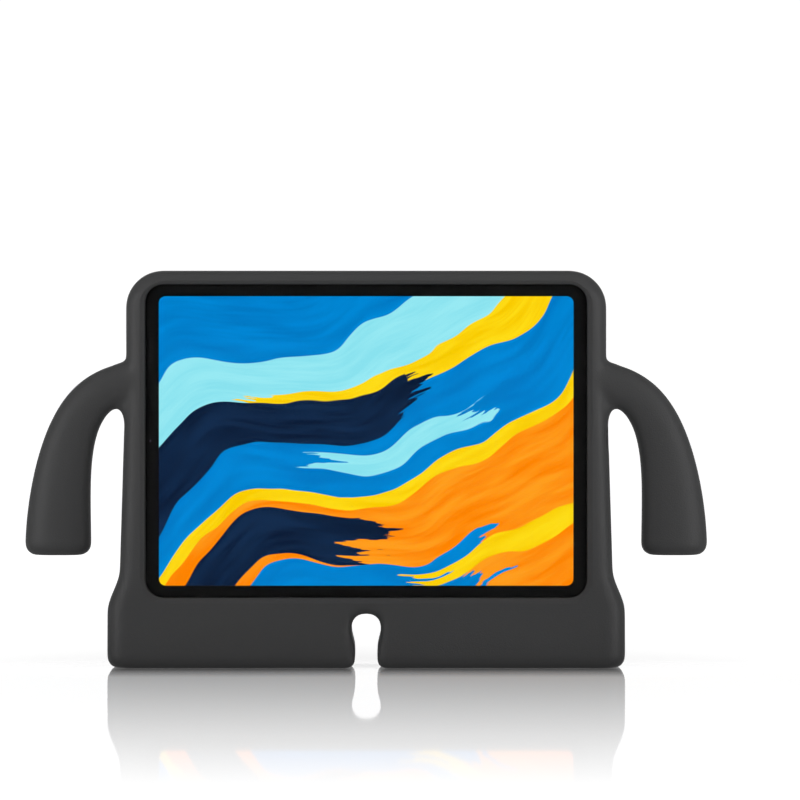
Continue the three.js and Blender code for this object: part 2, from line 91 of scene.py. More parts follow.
def colour(name, description, default):
    """A linear colour that a user may change."""
    return FloatVectorProperty(
        name=name, description=description, default=default, subtype="COLOR", min=0.0, max=1.0
    )


def share(name, description, default, high=1.0):
    """A plain number from 0 up."""
    return FloatProperty(name=name, description=description, default=default, min=0.0, max=high)


class TabletCaseBodySettings(bpy.types.PropertyGroup):
    """Sizes of the foam slab and of the foot that it flares into."""

    half_width: length("Half width", "Half the slab's width above the arms", 0.1328)
    top: length("Top", "Height of the slab's top", foam_high.z)
    front: place("Front", "Where the slab's front face lies", slate_low.y - 0.0036)
    back: place("Back", "Where the slab's back face lies", slate_high.y + 0.0113)
    shoulder_radius: length("Shoulder radius", "Radius of the slab's upper corners", 0.0205)
    front_edge: length("Front edge", "Rounding of the slab's front edges", 0.008)
    back_edge: length("Back edge", "Rounding of the slab's back edges", 0.008)
    arm_top: length("Arm top", "Height from which the sides start to spread", 0.17)
    waist: length("Waist", "Height at which the sides start to flare into the foot", 0.055)
    waist_spread: length("Waist spread", "How far each side spreads down to the waist", 0.0036)
    foot_top: length("Foot top", "Height at which the foot has its full width", 0.031)
    foot_spread: length("Foot spread", "How far each side flares below the waist", 0.0069)
    toe_top: length("Toe top", "Height at which the front starts to flare", 0.038)
    toe_bottom: length("Toe bottom", "Height at which the toe has its full reach", 0.005)
    toe_reach: length("Toe reach", "How far the foot reaches to the front", 0.003)
    heel_top: length("Heel top", "Height at which the back starts to flare", 0.062)
    heel_bottom: length("Heel bottom", "Height at which the heel has its full reach", 0.02)
    heel_reach: length("Heel reach", "How far the foot reaches to the back", 0.024)
    foot_front_edge: length("Foot front edge", "Rounding of the foot's front corners", 0.009)
    foot_back_edge: length("Foot back edge", "Rounding of the foot's back corners", 0.012)
    sole_side_inset: length("Sole side inset", "How far the sole's ends are tucked in", 0.0055)
    sole_face_inset: length("Sole face inset", "How far the sole's faces are tucked in", 0.0045)
    sole_edge: length("Sole edge", "Height of the rounding over the sole", 0.007)


class TabletCaseArmSettings(bpy.types.PropertyGroup):
    """Sizes of the two bent arms."""

    root_height: length("Root height", "Height at which an arm leaves the side", 0.162)
    root_sunk: length("Root sunk", "How deep the arm starts inside the side", 0.01)
    root_lean: FloatProperty(
        name="Root lean",
        description="How steeply the arm leaves the side",
        default=math.radians(22),
        subtype="ANGLE",
    )
    root_pull: length("Root pull", "How long the arm keeps its first direction", 0.024)
    bend_pull: length("Bend pull", "How high the plumb part of the arm reaches", 0.095)
    reach: length("Reach", "How far the tip's middle stands out from the slab", 0.0377)
    tip_height: length("Tip height", "Height of the arm's tip", 0.0625)
    root_width: length("Root width", "Width of the arm where it leaves the side", 0.022)
    tip_width: length("Tip width", "Width of the arm at its tip", 0.0368)
    root_depth: length("Root depth", "Depth of the arm where it leaves the side", 0.0195)
    tip_depth: length("Tip depth", "Depth of the arm at its tip", 0.026)
    tip_edge: length("Tip edge", "Rounding of the arm's end", 0.0065)
    fullness: share("Fullness", "Roundness of the section, from 2, oval, to squarer", 2.5, 6.0)
    web_drop: length("Web drop", "Height of the web in the corner under the arm", 0.0065)
    web_run: length("Web run", "How far the web runs along the arm", 0.0075)
    web_depth: length("Web depth", "Depth of the web from front to back", 0.011)


class TabletCaseCutSettings(bpy.types.PropertyGroup):
    """Sizes of the recess, the keyhole slot and the openings cut from the foam."""

    fit: length("Fit", "Gap between the slate and the foam", 0.0003)
    recess_corner: length("Recess corner", "Radius of the recess's corners", 0.0128)
    lip_depth: length("Lip depth", "Thickness of the lip over the slate's edge", 0.0033)
    lip_over_sides: length("Lip over the sides", "How far the lip covers the short sides", 0.0018)
    lip_over_ends: length("Lip over the ends", "How far the lip covers the long sides", 0.0026)
    lip_corner: length("Lip corner", "Radius of the screen opening's corners", 0.0102)
    lip_bevel: length("Lip bevel", "Width of the slope round the screen opening", 0.0028)
    bulb_radius: length("Bulb radius", "Radius of the keyhole's round top", 0.00815)
    bulb_height: length("Bulb height", "Height of the round top's middle", 0.022)
    neck_width: length("Neck width", "Width of the keyhole at its neck", 0.0123)
    neck_top: length("Neck top", "Height at which the neck starts to widen", 0.0095)
    mouth_radius: length("Mouth radius", "Rounding of the keyhole's mouth", 0.0046)
    slot_edge: length("Slot edge", "Depth of the rounding of the keyhole's edges", 0.0045)
    slot_reach: length("Slot edge reach", "Width of the same rounding at the mouth", 0.0042)
    camera_width: length("Camera opening width", "Width of the rear camera's opening", 0.029)
    camera_height: length("Camera opening height", "Height of the same opening", 0.0188)
    camera_shift: length("Camera opening shift", "How far it extends to the flash", 0.0054)
    camera_edge: length("Camera opening edge", "Rounding of its outer edge", 0.0028)
    contact_width: length("Contact opening width", "Width of the contacts' opening", 0.0086)
    contact_height: length("Contact opening height", "Height of the same opening", 0.021)
    contact_edge: length("Contact opening edge", "Rounding of its outer edge", 0.0021)
    port_length: length("Port length", "Length of the charging opening", 0.015)
    port_width: length("Port width", "Width of the charging opening", 0.008)
    speaker_length: length("Speaker slot length", "Length of a speaker slot", 0.02)
    speaker_width: length("Speaker slot width", "Width of a speaker slot", 0.0036)
    speaker_drop: length("Speaker slot drop", "How far it lies below the slate's middle", 0.048)


class TabletCaseFoamSettings(bpy.types.PropertyGroup):
    """Finish of the foam and fineness of its mesh."""

    base: colour("Foam", "Charcoal of the foam", (0.0346, 0.0347, 0.0353))
    roughness: share("Roughness", "Roughness of the foam's skin", 0.55)
    gloss: share("Gloss", "How strongly the foam's skin mirrors light", 0.25)
    sheen: share("Sheen", "Soft glow of the skin at a grazing angle", 0.03)
    grain: length("Grain", "Size of the skin's grain", 0.0007)
    grain_depth: length("Grain depth", "Depth of the skin's grain", 0.00005)
    voxel: length("Mesh size", "Size of the faces of the foam's mesh", 0.0014)
    soften: IntProperty(name="Softening", description="Smoothing passes", default=4, min=0)
    soften_roots: IntProperty(
        name="Root softening", description="More passes where the arms start", default=10, min=0
    )


class TabletCaseSlateSettings(bpy.types.PropertyGroup):
    """Finishes of the slate."""

    metal: colour("Metal", "Colour of the slate's shell", (0.42, 0.425, 0.44))
    border: colour("Border", "Colour of the border round the screen", (0.0035, 0.0035, 0.0036))
    glow: share("Glow", "Brightness of the lit screen", 1.0, 4.0)
    night: colour("Night blue", "Darkest field of the picture", (0.0028, 0.0105, 0.035))
    blue: colour("Blue", "Deep blue field of the picture", (0.0, 0.245, 0.665))
    sky: colour("Sky blue", "Light blue field of the picture", (0.31, 0.82, 0.9))
    yellow: colour("Yellow", "Yellow field of the picture", (1.0, 0.72, 0.008))
    orange: colour("Orange", "Orange field of the picture", (1.0, 0.23, 0.0))


class TabletCaseStageSettings(bpy.types.PropertyGroup):
    """Camera, floor and lights of the studio."""

    view_width: length("View width", "Width of the view at the case", 0.4416)
    view_x: place("View middle", "Where the view's middle lies along X", 0.0187)
    view_z: length("View height", "Where the view's middle lies above the floor", 0.1486)
    elevation: FloatProperty(
        name="Elevation",
        description="How far the camera looks down",
        default=math.radians(1.6),
        subtype="ANGLE",
    )
    distance: length("Distance", "Distance of the camera from the case", 4.2)
    polish: share("Polish", "How strongly the floor mirrors beside the case", 0.65)
    polish_run: length("Polish run", "How far from the case the polish fades away", 0.88)
    top_light: FloatProperty(
        name="Top light", description="Power of the light overhead", default=5.0, unit="POWER"
    )
    side_light: FloatProperty(
        name="Side light", description="Power of each light at the side", default=0.2, unit="POWER"
    )


# Shapes


def ease(value, start, end):
    """0 at start and 1 at end, easing in between, whichever of the two is the higher."""
    t = min(max((value - start) / (end - start), 0.0), 1.0)
    return t * t * (3.0 - 2.0 * t)


def mix(low, high, part):
    return low + (high - low) * part


def round_over(radius, depth):
    """How far a quarter-round edge stands back at a depth from its face."""
    if depth >= radius:
        return 0.0
    return radius - math.sqrt(radius**2 - (radius - max(depth, 0.0)) ** 2)


def quarter(steps):
    """Shares from 0 to 1, close together near 0, for the levels of a quarter-round edge."""
    return [1.0 - math.cos(i / steps * math.pi / 2) for i in range(steps + 1)]


def bend(path, t):
    """A point of the cubic curve that four guide points make, and the curve's heading there."""
    a, b, c, d = path
    s = 1.0 - t
    point = s**3 * a + 3 * s * s * t * b + 3 * s * t * t * c + t**3 * d
    way = s * s * (b - a) + 2 * s * t * (c - b) + t * t * (d - c)
    return point, way.normalized()


def skin(mesh, rings):
    """Skins a closed solid: the first ring is a capped circle, and each next one is extruded."""
    base = bmesh.ops.create_circle(mesh, cap_ends=True, segments=len(rings[0]), radius=0.01)
    loop = list(base["verts"])
    for vert, point in zip(loop, rings[0]):
        vert.co = point
    for ring in rings[1:]:
        edges = [mesh.edges.get((a, b)) for a, b in zip(loop, loop[1:] + loop[:1])]
        grown = set(bmesh.ops.extrude_edge_only(mesh, edges=edges)["geom"])
        loop = [
            next(e.other_vert(v) for e in v.link_edges if e.other_vert(v) in grown) for v in loop
        ]
        for vert, point in zip(loop, ring):
            vert.co = point
    edges = [mesh.edges.get((a, b)) for a, b in zip(loop, loop[1:] + loop[:1])]
    bmesh.ops.edgeloop_fill(mesh, edges=edges)


def piece_from(name, mesh):
    """Closes a bmesh into an object at the origin."""
    bmesh.ops.remove_doubles(mesh, verts=mesh.verts, dist=1e-6)
    bmesh.ops.dissolve_degenerate(mesh, edges=mesh.edges, dist=1e-7)
    bmesh.ops.recalc_face_normals(mesh, faces=mesh.faces)
    data = bpy.data.meshes.new(name)
    mesh.to_mesh(data)
    mesh.free()
    piece = bpy.data.objects.new(name, data)
    bpy.context.scene.collection.objects.link(piece)
    return piece


def solid_from(name, rings):
    mesh = bmesh.new()
    skin(mesh, rings)
    return piece_from(name, mesh)


def apply_modifiers(piece):
    """Keeps what the piece's modifiers make, and takes them off."""
    graph = bpy.context.evaluated_depsgraph_get()
    finished = bpy.data.meshes.new_from_object(piece.evaluated_get(graph))
    piece.modifiers.clear()
    rough, piece.data = piece.data, finished
    finished.name = piece.name
    bpy.data.meshes.remove(rough)


def combine(piece, tool, operation):
    """Adds the tool's shape to the piece, or takes it away, and clears the tool."""
    step = piece.modifiers.new("shape", "BOOLEAN")
    step.operation = operation
    step.solver = "MANIFOLD"
    step.object = tool
    apply_modifiers(piece)
    shape = tool.data
    bpy.data.objects.remove(tool)
    bpy.data.meshes.remove(shape)
    if not piece.data.polygons:
        raise RuntimeError(f"{piece.name} was lost when {operation.lower()} was applied")


def cut(piece, rings):
    """Takes the solid that is skinned over the rings away from the piece."""
    combine(piece, solid_from("cut", rings), "DIFFERENCE")


def rounded_outline(width, height, corner, steps=12):
    """Points (x, z) round a rounded rectangle about (0, 0)."""
    corner = min(corner, width / 2, height / 2)
    points = []
    for index, (sx, sz) in enumerate(((1, 1), (-1, 1), (-1, -1), (1, -1))):
        for i in range(steps + 1):
            turn = (index + i / steps) * math.pi / 2
            points.append(
                (
                    sx * (width / 2 - corner) + corner * math.cos(turn),
                    sz * (height / 2 - corner) + corner * math.sin(turn),
                )
            )
    return points


def upright_rings(width, height, corner, x, z, profile):
    """Rings in the X-Z plane about (x, z), each at (y, how far it is let out)."""
    return [
        [
            Vector((x + px, y, z + pz))
            for px, pz in rounded_outline(width + 2 * out, height + 2 * out, corner + out)
        ]
        for y, out in profile
    ]


def side_half_width(body, z):
    spread = min(max((body.arm_top - z) / (body.arm_top - body.waist), 0.0), 1.0)
    flare = ease(z, body.waist, body.foot_top)
    return body.half_width + body.waist_spread * spread + body.foot_spread * flare


def front_face(body, z):
    return body.front - body.toe_reach * ease(z, body.toe_top, body.toe_bottom)


def back_face(body, z):
    return body.back + body.heel_reach * ease(z, body.heel_top, body.heel_bottom)


def body_ring(body, z, steps=14):
    """A level section of the slab or foot: a rectangle with elliptical corners. Over the
    shoulders the corners stretch along X, where the section cuts the rounded edge aslant."""
    shoulder = max(z - (body.top - body.shoulder_radius), 0.0)

    def reach(radius):
        return math.sqrt(max(radius**2 - shoulder**2, 0.0))

    sole = math.sqrt(1.0 - (1.0 - min(z / body.sole_edge, 1.0)) ** 2)
    half = side_half_width(body, z) - body.shoulder_radius + reach(body.shoulder_radius)
    half -= body.sole_side_inset * (1.0 - sole)
    foot = ease(z, body.waist, body.foot_top)
    tuck = body.sole_face_inset * (1.0 - sole)
    corners = (
        (body.front_edge, body.foot_front_edge, front_face(body, z), -1, -1, math.pi),
        (body.front_edge, body.foot_front_edge, front_face(body, z), 1, -1, 1.5 * math.pi),
        (body.back_edge, body.foot_back_edge, back_face(body, z), 1, 1, 0.0),
        (body.back_edge, body.foot_back_edge, back_face(body, z), -1, 1, 0.5 * math.pi),
    )
    ring = []
    for edge, foot_edge, face, sx, sy, start in corners:
        radius = mix(edge, foot_edge, foot)
        back = round_over(edge, body.top - z)
        along = radius
        if shoulder > 0:
            along = reach(body.shoulder_radius) - reach(body.shoulder_radius - edge)
            along += radius - edge
        depth = radius - back
        y = face - sy * (back + tuck)
        for i in range(steps + 1):
            turn = start + i / steps * math.pi / 2
            ring.append(
                Vector(
                    (
                        sx * (half - along) + along * math.cos(turn),
                        y - sy * depth + depth * math.sin(turn),
                        z,
                    )
                )
            )
    return ring


def body_levels(body):
    """Heights of the body's sections, closest together over its rounded edges."""
    levels = [body.sole_edge * part for part in quarter(10)]
    levels += [mix(body.sole_edge, body.arm_top, i / 60) for i in range(1, 61)]
    shoulder = body.top - body.shoulder_radius
    levels += [shoulder + body.shoulder_radius * math.sin(i / 24 * math.pi / 2) for i in range(25)]
    levels += [body.top - body.front_edge * part for part in quarter(12)]
    levels.sort()
    return [z for i, z in enumerate(levels) if i == 0 or z - levels[i - 1] > 4e-5]


def arm_rings(body, arm):
    """Sections of the right arm square to its centre line, from inside the side to the tip."""
    start = Vector((body.half_width - arm.root_sunk, arm.root_height))
    end = Vector((body.half_width + arm.reach, arm.tip_height))
    first = start + arm.root_pull * Vector((math.cos(arm.root_lean), -math.sin(arm.root_lean)))
    path = (start, first, end + Vector((0.0, arm.bend_pull)), end)
    fine = [i / 400 for i in range(401)]
    points = [bend(path, t)[0] for t in fine]
    run = [0.0]
    for a, b in zip(points, points[1:]):
        run.append(run[-1] + (b - a).length)
    whole = run[-1]

    def at(distance):
        """The line's own parameter at a distance along it."""
        for i in range(1, len(run)):
            if run[i] >= distance - 1e-12:
                part = (distance - run[i - 1]) / (run[i] - run[i - 1])
                return mix(fine[i - 1], fine[i], min(max(part, 0.0), 1.0))
        return 1.0

    distances = [i / 70 * (whole - arm.tip_edge) for i in range(71)]
    distances += [whole - arm.tip_edge * part for part in reversed(quarter(12)[:-1])]
    halfway = (body.front + body.back) / 2
    rings = []
    for distance in distances:
        centre, along = bend(path, at(distance))
        growth = ease(distance / whole, 0.08, 1.0)
        tuck = round_over(arm.tip_edge, whole - distance)
        width = mix(arm.root_width, arm.tip_width, growth) / 2 - tuck
        depth = mix(arm.root_depth, arm.tip_depth, growth) / 2 - tuck
        ring = []
        for i in range(64):
            turn = i / 64 * 2 * math.pi
            wide, deep = math.cos(turn), math.sin(turn)
            wide = width * math.copysign(abs(wide) ** (2 / arm.fullness), wide)
            deep = depth * math.copysign(abs(deep) ** (2 / arm.fullness), deep)
            ring.append(
                Vector((centre.x - along.y * wide, halfway + deep, centre.y + along.x * wide))
            )
        rings.append(ring)
    return rings


def web_rings(body, arm):
    """Outline of the web in the corner under the right arm, at its front and its back."""
    side = side_half_width(body, arm.root_height - arm.root_width)
    under = arm.root_height - arm.root_width / 2 - arm.web_drop / 2
    low, curb = under - arm.web_drop, under - 0.0032

    def curve(a, b, c, steps=8):
        parts = [i / steps for i in range(1, steps + 1)]
        return [(1 - t) ** 2 * a + 2 * (1 - t) * t * b + t * t * c for t in parts]

    foot = Vector((side, low - 0.006))
    crest = Vector((side + arm.web_run * 0.66, curb))
    toe = Vector((side + arm.web_run + 0.002, low))
    outline = [Vector((side - 0.003, low - 0.006)), foot]
    outline += curve(foot, Vector((side + 0.0012, under - 0.003)), crest)
    outline += curve(crest, Vector((side + arm.web_run, curb)), toe)
    outline += [Vector((toe.x, under + 0.004)), Vector((side - 0.003, under + 0.004))]
    halfway = (body.front + body.back) / 2
    return [
        [Vector((p.x, halfway + way * arm.web_depth / 2, p.y)) for p in outline] for way in (-1, 1)
    ]


def keyhole_outline(cuts, out):
    """Keyhole (x, z), let out by a distance, and by more above its mouth: up one side from the
    mouth, and down the other."""
    neck = cuts.neck_width / 2
    rise = cuts.bulb_height - cuts.neck_top
    half = []
    for i in range(15):
        turn = -math.pi / 2 - i / 14 * math.pi / 2
        way = Vector((math.cos(turn), math.sin(turn)))
        centre = Vector((neck + cuts.mouth_radius, cuts.mouth_radius))
        half.append(centre + (cuts.mouth_radius - out) * way)
    out *= 1.45
    path = [
        Vector((neck, cuts.neck_top)),
        Vector((neck, cuts.neck_top + 0.5 * rise)),
        Vector((cuts.bulb_radius, cuts.bulb_height - 0.45 * rise)),
        Vector((cuts.bulb_radius, cuts.bulb_height)),
    ]
    for i in range(15):
        point, way = bend(path, i / 14)
        half.append(Vector((point.x + out * way.y, point.y - out * way.x)))
    for i in range(1, 19):
        turn = i / 18 * math.pi / 2
        radius = cuts.bulb_radius + out
        wide, high = math.cos(turn) ** 0.84, math.sin(turn) ** 0.84
        half.append(Vector((radius * wide, cuts.bulb_height + radius * high)))
    half.insert(0, Vector((half[0].x, -0.01)))
    return half + [Vector((-p.x, p.y)) for p in reversed(half[:-1])]


def keyhole_rings(body, cuts):
    """Rings of the keyhole from front to back, which follow the foot and round its edges."""

    def ring(face_at, out):
        return [Vector((p.x, face_at(max(p.y, 0.0)), p.y)) for p in keyhole_outline(cuts, out)]

    edge, reach = cuts.slot_edge, cuts.slot_reach
    rings = [ring(lambda z: front_face(body, z) - 0.008, reach)]
    for part in quarter(12):
        out = round_over(1.0, part) * reach
        rings.append(ring(lambda z: front_face(body, z) + edge * part, out))
    for part in reversed(quarter(12)):
        out = round_over(1.0, part) * reach
        rings.append(ring(lambda z: back_face(body, z) - edge * part, out))
    rings.append(ring(lambda z: back_face(body, z) + 0.008, reach))
    return rings


def rear_openings(cuts):
    """The rear camera's opening and the contacts': (x, z, width, height, edge)."""
    camera, contact = CAMERA_MIDDLE, CONTACT_MIDDLE
    camera_size = cuts.camera_width, cuts.camera_height, cuts.camera_edge
    contact_size = cuts.contact_width, cuts.contact_height, cuts.contact_edge
    return (
        (camera.x + cuts.camera_shift, camera.z, *camera_size),
        (contact.x, contact.z, *contact_size),
    )


def back_opening(body, cuts, x, z, width, height, edge):
    """Rings of an opening through the back wall, which widens outwards to an eased edge."""
    brim = edge * 0.25
    profile = [(SLATE_MIDDLE.y, 0.0), (slate_high.y + cuts.fit, 0.0)]
    for part in reversed(quarter(8)):
        profile.append((body.back - brim * part, edge - brim + round_over(brim, brim * part)))
    profile.append((body.back + 0.002, edge))
    return upright_rings(width, height, min(width, height) / 2, x, z, profile)


def side_opening(body, long, wide, z, edge, sign=1):
    """Rings of a round-ended opening through a side wall, with its outer edge eased."""
    face = side_half_width(body, z)
    profile = [(slate_high.x - 0.0017, 0.0), (face - edge, 0.0)]
    profile += [
        (face - edge * part, round_over(edge, edge * part)) for part in reversed(quarter(6)[:-1])
    ]
    profile.append((face + 0.006, edge))
    rings = []
    for x, out in profile:
        outline = rounded_outline(wide + 2 * out, long + 2 * out, wide / 2 + out)
        rings.append([Vector((sign * x, PORT_LEVEL + py, z + pz)) for py, pz in outline])
    return rings


def soften(piece, passes, near=None):
    """Evens the surface of a remeshed piece: only the points for which near is true, or all of
    them, and then its sole is kept on the floor."""
    mesh = bmesh.new()
    mesh.from_mesh(piece.data)
    verts = [v for v in mesh.verts if near is None or near(v.co)]
    for _ in range(passes):
        bmesh.ops.smooth_vert(
            mesh, verts=verts, factor=0.5, use_axis_x=True, use_axis_y=True, use_axis_z=True
        )
    if near is None:
        for vert in mesh.verts:
            vert.co.z = max(vert.co.z, 0.0)
    mesh.to_mesh(piece.data)
    mesh.free()


def arm_root_test(body, arm):
    """What tells whether a point lies in the hollow where an arm leaves the side."""
    inside, outside = body.half_width - 0.0033, body.half_width + 0.0117
    under, over = arm.root_height - 0.024, arm.root_height + 0.006
    return lambda point: inside < abs(point.x) < outside and under < point.z < over


def shade(piece, angle=38):
    """Smooth shading, with edges kept crisp where faces meet at more than an angle."""
    for polygon in piece.data.polygons:
        polygon.use_smooth = True
    piece.data.set_sharp_from_angle(angle=math.radians(angle))


# Materials


def add_node(tree, kind, inputs=None, **settings):
    """Adds a shader node. Each of its inputs is a value, or an output to join it to."""
    node = tree.nodes.new("ShaderNode" + kind)
    for key, value in settings.items():
        setattr(node, key, value)
    for key, value in (inputs or {}).items():
        if isinstance(value, bpy.types.NodeSocket):
            tree.links.new(value, node.inputs[key])
        else:
            node.inputs[key].default_value = value
    return node


class Recipe:
    """A new material with its surface shader, and short ways to add and join nodes."""

    def __init__(self, name, **surface):
        self.material = bpy.data.materials.new(name)
        self.material.use_nodes = True
        self.tree = self.material.node_tree
        self.surface = self.tree.nodes["Principled BSDF"]
        for key, value in surface.items():
            self.surface.inputs[key.replace("_", " ")].default_value = value

    def add(self, kind, inputs=None, **settings):
        return add_node(self.tree, kind, inputs, **settings)

    def drive(self, socket, output):
        self.tree.links.new(output, self.surface.inputs[socket])

    def place(self, origin=(0, 0, 0), turn=(0, 0, 0), scale=(1, 1, 1)):
        """Object coordinates counted from a point of the object, turned and scaled."""
        here = self.add("TexCoord").outputs["Object"]
        moved = self.add(
            "Mapping", {"Vector": here, "Location": [-value for value in origin]}
        ).outputs[0]
        return self.add("Mapping", {"Vector": moved, "Rotation": turn, "Scale": scale}).outputs[0]

    def noise(self, where, size, detail=2.0, roughness=0.5):
        return self.add(
            "TexNoise",
            {"Vector": where, "Scale": 1.0 / size, "Detail": detail, "Roughness": roughness},
        ).outputs["Fac"]

    def spread(self, value, low, high, new_low=0.0, new_high=1.0):
        """Stretches a value's range, and holds it within the new one."""
        limits = {0: value, 1: low, 2: high, 3: new_low, 4: new_high}
        return self.add("MapRange", limits).outputs["Result"]

    def sums(self, operation, a, b=0.0, c=0.0):
        return self.add("Math", {0: a, 1: b, 2: c}, operation=operation).outputs[0]

    def axes(self, where):
        return self.add("SeparateXYZ", {"Vector": where}).outputs

    def away(self, where):
        """Distance from the point that a place is counted from."""
        return self.add("VectorMath", {0: where}, operation="LENGTH").outputs["Value"]

    def outside(self, parts, spans):
        """Distance to a rectangle, given by its middle and half its size along each axis."""
        past = {}
        for key, (centre, half) in spans.items():
            off = self.sums("ABSOLUTE", self.sums("SUBTRACT", parts[key], centre))
            past[key] = self.sums("MAXIMUM", self.sums("SUBTRACT", off, half))
        return self.away(self.add("CombineXYZ", past).outputs[0])

    def tint(self, part, low, high):
        """The colour low where part is 0, and high where it is 1."""
        return self.add("Mix", {0: part, 6: low, 7: high}, data_type="RGBA").outputs[2]

    def bump(self, height, distance, strength=1.0, under=None):
        inputs = {"Height": height, "Distance": distance, "Strength": strength}
        if under is not None:
            inputs["Normal"] = under
        return self.add("Bump", inputs).outputs["Normal"]


def opaque(value, brightness=1.0):
    return (value[0] * brightness, value[1] * brightness, value[2] * brightness, 1.0)


def dress(name, material):
    """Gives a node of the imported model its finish."""
    data = nodes[name].data
    data.materials.clear()
    data.materials.append(material)


def painted_opening_shade(recipe, cuts):
    """1 on the walls of the two rear openings, where shade is painted, and 0 elsewhere."""
    parts = recipe.axes(recipe.place())
    behind = recipe.spread(parts["Y"], slate_high.y - 0.0002, slate_high.y)
    walls = 0.0
    for x, z, wide, high, edge in rear_openings(cuts):
        radius = min(wide, high) / 2
        away = recipe.outside(parts, {"X": (x, wide / 2 - radius), "Z": (z, high / 2 - radius)})
        rim = radius + edge
        walls = recipe.sums("ADD", recipe.spread(away, rim - 0.0005, rim, 1.0, 0.0), walls)
    return recipe.sums("MULTIPLY", walls, behind)


def foam_finish(settings, cuts):
    """Closed-cell foam: a matt skin with a fine grain, faint cells and a slow mottle, and shade
    painted near black on the walls of the rear openings."""
    base = settings.base
    recipe = Recipe(
        "charcoal_foam",
        Roughness=settings.roughness,
        Specular_IOR_Level=settings.gloss,
        Sheen_Weight=settings.sheen,
        Sheen_Roughness=0.45,
    )
    where = recipe.place()
    grain = recipe.noise(where, settings.grain, 3.0, 0.6)
    cell_size = 0.0016
    cells = recipe.add(
        "TexVoronoi", {"Vector": where, "Scale": 1.0 / cell_size, "Randomness": 1.0}
    ).outputs["Distance"]
    swell = recipe.noise(where, 0.012, 2.0, 0.5)
    mottle = recipe.noise(where, 0.03, 3.0, 0.6)
    fine = recipe.bump(grain, settings.grain_depth * 4, 0.55)
    pitted = recipe.bump(recipe.spread(cells, 0.0, 0.55), 0.00006, 0.35, fine)
    recipe.drive("Normal", recipe.bump(swell, 0.0004, 0.25, pitted))
    shade_of = recipe.tint(
        recipe.spread(mottle, 0.3, 0.7), opaque(base, 0.965), opaque(base, 1.035)
    )
    skin_colour = recipe.tint(recipe.spread(grain, 0.3, 0.7), shade_of, opaque(base, 1.06))
    # Painted shade: the foam's colour darkened to near black on the walls of the rear openings
    painted_wall_shade = opaque(base, 0.12)
    recipe.drive("Base Color", recipe.tint(painted_opening_shade(recipe, cuts), skin_colour, painted_wall_shade))
    recipe.drive(
        "Roughness",
        recipe.spread(mottle, 0.3, 0.7, settings.roughness - 0.03, settings.roughness + 0.04),
    )
    return recipe.material


def blast(recipe, roughness):
    """Gives a recipe the very fine, even grain of bead-blasted metal."""
    where = recipe.place()
    grain = recipe.noise(where, 0.00035, 2.0, 0.7)
    recipe.drive("Normal", recipe.bump(grain, 0.00004, 0.5))
    cloud = recipe.noise(where, 0.02, 2.0, 0.5)
    recipe.drive("Roughness", recipe.spread(cloud, 0.3, 0.7, roughness - 0.03, roughness + 0.05))
    return recipe.material


def metal_finish(name, base, roughness):
    """Blasted metal: a satin metal of one colour."""
    return blast(Recipe(name, Metallic=1.0, Base_Color=opaque(base)), roughness)


def glass_finish(name):
    """Coated cover glass, clear to what lies behind it, with barely seen smears."""
    recipe = Recipe(
        name,
        Base_Color=(1.0, 1.0, 1.0, 1.0),
        Transmission_Weight=1.0,
        IOR=1.08,
    )
    smears = recipe.noise(recipe.place(scale=(1.0, 1.0, 0.35)), 0.016, 3.0, 0.6)
    recipe.drive("Roughness", recipe.spread(smears, 0.45, 0.8, 0.0, 0.05))
    return recipe.material


def plastic_finish(name, base, roughness, gloss=0.4, grain_size=0.0004):
    """Moulded plastic with a fine spark-eroded texture."""
    recipe = Recipe(name, Base_Color=opaque(base), Roughness=roughness, Specular_IOR_Level=gloss)
    grain = recipe.noise(recipe.place(), grain_size, 2.0, 0.6)
    recipe.drive("Normal", recipe.bump(grain, 0.00002, 0.4))
    recipe.drive("Roughness", recipe.spread(grain, 0.3, 0.7, roughness - 0.05, roughness + 0.06))
    return recipe.material


def eyed_finish(name, centre, rings, roughness=0.08, gloss=0.5, metallic=0.0):
    """Optics, or their trim, whose colour changes in rings: (radius, colour) outwards. On the
    camera's trim the rings are painted highlight and shade.
    """
    recipe = Recipe(
        name,
        Roughness=roughness,
        Specular_IOR_Level=gloss,
        Coat_Weight=gloss,
        Coat_Roughness=0.03,
        Metallic=metallic,
    )
    flat = recipe.place(origin=centre, scale=(1.0, 0.0, 1.0))
    away = recipe.away(flat)
    found = opaque(rings[-1][1])
    for radius, tone in reversed(rings[:-1]):
        edge = recipe.spread(away, radius - 0.00006, radius + 0.00006)
        found = recipe.tint(edge, opaque(tone), found)
    recipe.drive("Base Color", found)
    cloud = recipe.noise(recipe.place(), 0.0012, 2.0, 0.5)
    recipe.drive("Roughness", recipe.spread(cloud, 0.3, 0.7, roughness * 0.8, roughness * 1.2))
    return recipe.material


